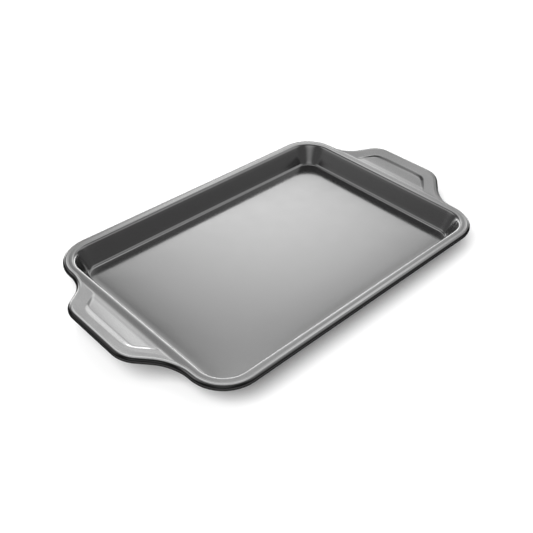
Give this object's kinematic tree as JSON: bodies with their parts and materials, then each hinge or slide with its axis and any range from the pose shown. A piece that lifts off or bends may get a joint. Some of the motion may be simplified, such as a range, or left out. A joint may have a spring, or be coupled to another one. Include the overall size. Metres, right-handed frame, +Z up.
{
  "type": "jelly roll pan",
  "caption": "Shallow rectangular baking pan with leaning walls, a flat flange rolled round a steel wire, and wide integral handles with sunk panels at both ends.",
  "frame": {"origin": "middle of the pan's footprint, on the surface it stands on", "axes": "+X along the pan from one handle to the other, +Y across it, +Z up"},
  "size_m": [0.4944, 0.2918, 0.0328],
  "materials": {
    "coated_steel": "satin grey non-stick coating on drawn steel sheet, fine metallic speckle",
    "bright_wire": "drawn steel wire, bare and dull bright"
  },
  "bodies": {
    "root": {"pan_shell": "coated_steel", "rim_wire": "bright_wire"}
  },
  "joints": []
}
